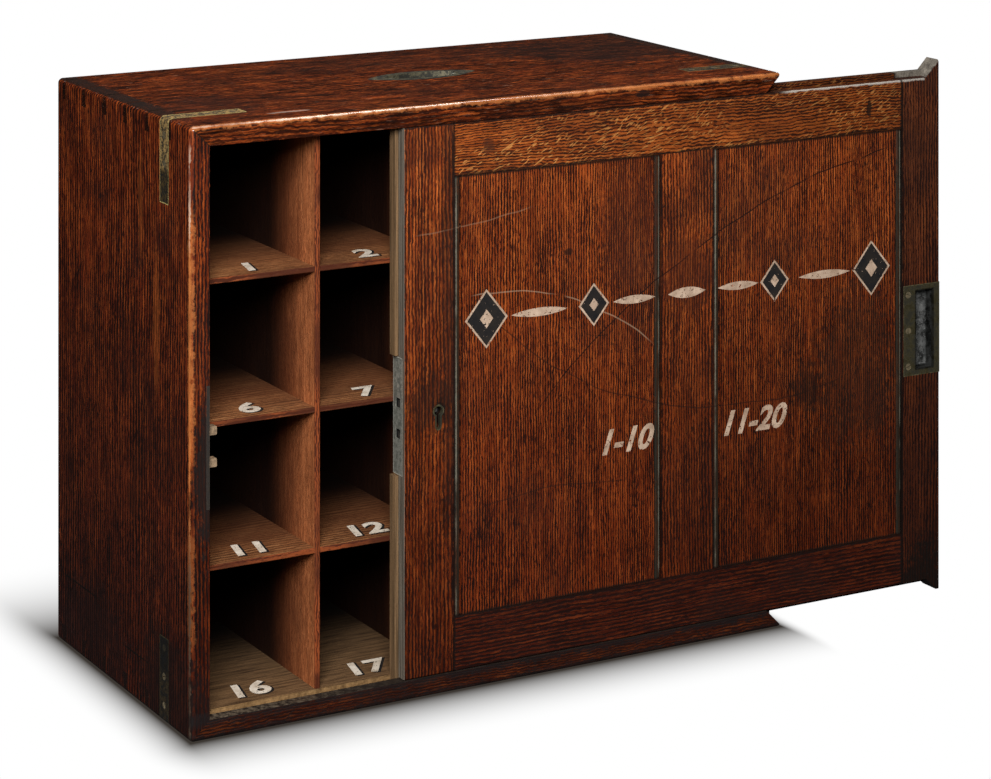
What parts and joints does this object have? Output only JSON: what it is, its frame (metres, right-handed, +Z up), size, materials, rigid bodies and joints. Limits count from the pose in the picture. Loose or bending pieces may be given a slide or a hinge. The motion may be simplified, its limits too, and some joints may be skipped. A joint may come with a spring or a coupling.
{
  "type": "desk letter box",
  "caption": "Dovetailed oak box of pigeonholes for letters, with a framed and panelled door that slides sideways, a link lock, a flush pull and a folding carrying handle.",
  "frame": {"origin": "centre of the case's underside", "axes": "+X right along the front, the way the door opens; +Y from the front to the back; +Z up"},
  "size_m": [0.694, 0.2686, 0.457],
  "materials": {
    "polished_oak": "dark polished oak, worn on its edges",
    "door_oak": "dark polished oak",
    "plain_oak": "thin stained oak, dry and unpolished",
    "aged_brass": "tarnished brass, brighter on its edges",
    "brass_screws": "slotted brass screws, tarnished",
    "steel": "plain steel, dulled"
  },
  "bodies": {
    "case": {"case_top": "polished_oak", "case_bottom": "polished_oak", "case_left_side": "polished_oak", "case_right_side": "polished_oak", "back_board_1": "plain_oak", "back_board_2": "plain_oak", "back_board_3": "plain_oak", "back_screws": "steel", "divider_1": "plain_oak", "divider_2": "plain_oak", "divider_3": "plain_oak", "divider_4": "plain_oak", "shelf_1": "plain_oak", "shelf_2": "plain_oak", "shelf_3": "plain_oak", "strap_top_left": "aged_brass", "strap_bottom_left": "aged_brass", "strap_top_right": "aged_brass", "strap_bottom_right": "aged_brass", "strap_screws": "brass_screws", "link_plate": "aged_brass", "link_staples": "aged_brass", "link_screws": "steel", "handle_plate": "aged_brass", "handle_pins": "aged_brass", "handle_screws": "brass_screws"},
    "door": {"door_lock_stile": "door_oak", "door_pull_stile": "door_oak", "door_top_rail": "door_oak", "door_bottom_rail": "door_oak", "door_muntin": "door_oak", "door_panel_left": "door_oak", "door_panel_right": "door_oak", "pull_plate": "aged_brass", "pull_screws": "brass_screws", "lock_plate": "aged_brass", "lock_case": "aged_brass", "lock_pins": "steel", "lock_spring": "steel", "lock_screws": "steel", "keyhole_escutcheon": "aged_brass"},
    "bail": {"handle_bail": "aged_brass"},
    "bolt": {"lock_bolt": "aged_brass"}
  },
  "joints": [
    {"name": "door_slide", "type": "slide", "parent": "case", "child": "door", "axis": [1, 0, 0], "range_m": [-0.163, 0.29]},
    {"name": "handle_hinge", "type": "hinge", "parent": "case", "child": "bail", "pos_m": [0, 0, 0.4535], "axis": [-1, 0, 0], "range_deg": [0, 180]},
    {"name": "bolt_slide", "type": "slide", "parent": "door", "child": "bolt", "axis": [0, 0, 1], "range_m": [0, 0.007]}
  ]
}
